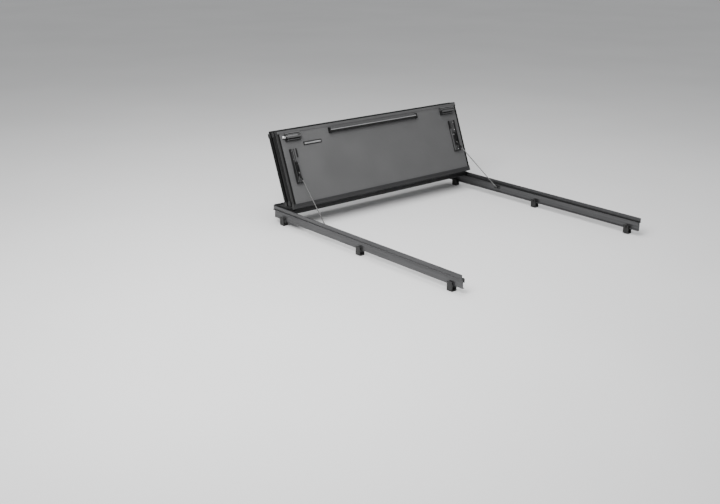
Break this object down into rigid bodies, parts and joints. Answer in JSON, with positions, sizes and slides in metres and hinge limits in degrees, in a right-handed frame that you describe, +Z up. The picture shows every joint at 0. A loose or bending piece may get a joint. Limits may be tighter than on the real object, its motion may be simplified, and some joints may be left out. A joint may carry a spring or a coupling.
{
  "type": "hard folding tonneau cover",
  "caption": "Hard folding pickup bed cover: hinged framed panels fold face to face onto a fixed front panel, on clamped side rails, held up by prop rods.",
  "frame": {"origin": "middle of the base of the whole cover as it stands folded, at the lowest point of the rail clamps", "axes": "+X to the truck's right, +Y forward to the cab, +Z up"},
  "size_m": [1.624, 1.7514, 0.612],
  "materials": {
    "board": "fine textured mid-grey underside of a composite board",
    "skin": "matt black textured top skin",
    "frame": "satin dark grey powder coat on extrusions",
    "rail": "satin black anodised rail extrusion",
    "rubber": "matt black seal rubber",
    "plastic": "moulded black plastic, fine grain",
    "black_metal": "black coated cast clamp",
    "bar": "satin grey extrusion",
    "steel": "zinc plated rod",
    "chrome": "polished bolt",
    "label": "blank plate"
  },
  "bodies": {
    "root": {"left_side_rail": "rail", "left_rail_seal": "rubber", "left_rod_pivot": "black_metal", "left_front_rail_clamp": "black_metal", "left_middle_rail_clamp": "black_metal", "left_rear_rail_clamp": "black_metal", "right_side_rail": "rail", "right_rail_seal": "rubber", "right_rod_pivot": "black_metal", "right_front_rail_clamp": "black_metal", "right_middle_rail_clamp": "black_metal", "right_rear_rail_clamp": "black_metal", "front_crossbar": "rail", "front_seal": "rubber", "panel_1_hinge_frame": "frame", "panel_1_front_frame": "frame", "panel_1_left_frame": "frame", "panel_1_right_frame": "frame", "panel_1_board": "board", "panel_1_top_skin": "skin", "front_hinge_pin": "steel"},
    "panel_2": {"panel_2_lower_frame": "frame", "panel_2_upper_frame": "frame", "panel_2_left_frame": "frame", "panel_2_right_frame": "frame", "panel_2_board": "board", "panel_2_top_skin": "skin", "middle_hinge_pin": "steel", "panel_2_left_latch_housing": "plastic", "panel_2_right_latch_housing": "plastic", "panel_2_bar_bracket": "plastic", "left_rod_receiver": "plastic", "right_rod_receiver": "plastic", "label_plate": "label"},
    "panel_3": {"panel_3_lower_frame": "frame", "panel_3_upper_frame": "frame", "panel_3_left_frame": "frame", "panel_3_right_frame": "frame", "panel_3_board": "board", "panel_3_top_skin": "skin", "rear_hinge_pin": "steel"},
    "panel_4": {"panel_4_lower_frame": "frame", "panel_4_upper_frame": "frame", "panel_4_left_frame": "frame", "panel_4_right_frame": "frame", "panel_4_board": "board", "panel_4_top_skin": "skin", "tailgate_seal": "rubber", "panel_4_left_latch_housing": "plastic", "panel_4_right_latch_housing": "plastic", "panel_4_bar_bracket": "plastic"},
    "panel_2_left_bolt": {"panel_2_left_latch_bolt": "chrome"},
    "panel_2_right_bolt": {"panel_2_right_latch_bolt": "chrome"},
    "panel_2_bar": {"panel_2_release_bar": "bar"},
    "panel_4_left_bolt": {"panel_4_left_latch_bolt": "chrome"},
    "panel_4_right_bolt": {"panel_4_right_latch_bolt": "chrome"},
    "panel_4_bar": {"panel_4_release_bar": "bar"},
    "left_rod": {"left_prop_rod": "steel"},
    "right_rod": {"right_prop_rod": "steel"}
  },
  "joints": [
    {"name": "stack_tilt", "type": "hinge", "parent": "root", "child": "panel_2", "pos_m": [0, 0.62148, 0.12514], "axis": [1, 0, 0], "range_deg": [0, 111.5]},
    {"name": "panel_3_unfold", "type": "hinge", "parent": "panel_2", "child": "panel_3", "pos_m": [0, 0.80986, 0.60338], "axis": [1, 0, 0], "range_deg": [0, 180]},
    {"name": "panel_4_unfold", "type": "hinge", "parent": "panel_3", "child": "panel_4", "pos_m": [0, 0.6683, 0.13895], "axis": [1, 0, 0], "range_deg": [-180, 0]},
    {"name": "left_rod_swing", "type": "hinge", "parent": "root", "child": "left_rod", "pos_m": [0, 0.3093, 0.073], "axis": [1, 0, 0], "range_deg": [0, 149]},
    {"name": "right_rod_swing", "type": "hinge", "parent": "root", "child": "right_rod", "pos_m": [0, 0.3093, 0.073], "axis": [1, 0, 0], "range_deg": [0, 149]},
    {"name": "panel_2_release", "type": "hinge", "parent": "panel_2", "child": "panel_2_bar", "pos_m": [0, 0.76137, 0.57304], "axis": [-1, 0, 0], "range_deg": [0, 22], "stiffness_Nm_per_rad": 3, "springref_deg": -14.32},
    {"name": "panel_4_release", "type": "hinge", "parent": "panel_4", "child": "panel_4_bar", "pos_m": [0, 0.83301, 0.54482], "axis": [-1, 0, 0], "range_deg": [0, 15], "stiffness_Nm_per_rad": 3, "springref_deg": -14.32},
    {"name": "panel_2_left_bolt_slide", "type": "slide", "parent": "panel_2", "child": "panel_2_left_bolt", "axis": [1, 0, 0], "range_m": [0, 0.01]},
    {"name": "panel_2_right_bolt_slide", "type": "slide", "parent": "panel_2", "child": "panel_2_right_bolt", "axis": [-1, 0, 0], "range_m": [0, 0.01]},
    {"name": "panel_4_left_bolt_slide", "type": "slide", "parent": "panel_4", "child": "panel_4_left_bolt", "axis": [1, 0, 0], "range_m": [0, 0.009]},
    {"name": "panel_4_right_bolt_slide", "type": "slide", "parent": "panel_4", "child": "panel_4_right_bolt", "axis": [-1, 0, 0], "range_m": [0, 0.009]}
  ],
  "couplings": [
    {"joint": "panel_3_unfold", "follows": "stack_tilt", "ratio": 1.6143},
    {"joint": "panel_4_unfold", "follows": "stack_tilt", "ratio": -1.6143},
    {"joint": "left_rod_swing", "follows": "stack_tilt", "ratio": 1.334},
    {"joint": "right_rod_swing", "follows": "stack_tilt", "ratio": 1.334},
    {"joint": "panel_2_left_bolt_slide", "follows": "panel_2_release", "m_per_rad": 0.026},
    {"joint": "panel_2_right_bolt_slide", "follows": "panel_2_release", "m_per_rad": 0.026},
    {"joint": "panel_4_left_bolt_slide", "follows": "panel_4_release", "m_per_rad": 0.03},
    {"joint": "panel_4_right_bolt_slide", "follows": "panel_4_release", "m_per_rad": 0.03}
  ]
}
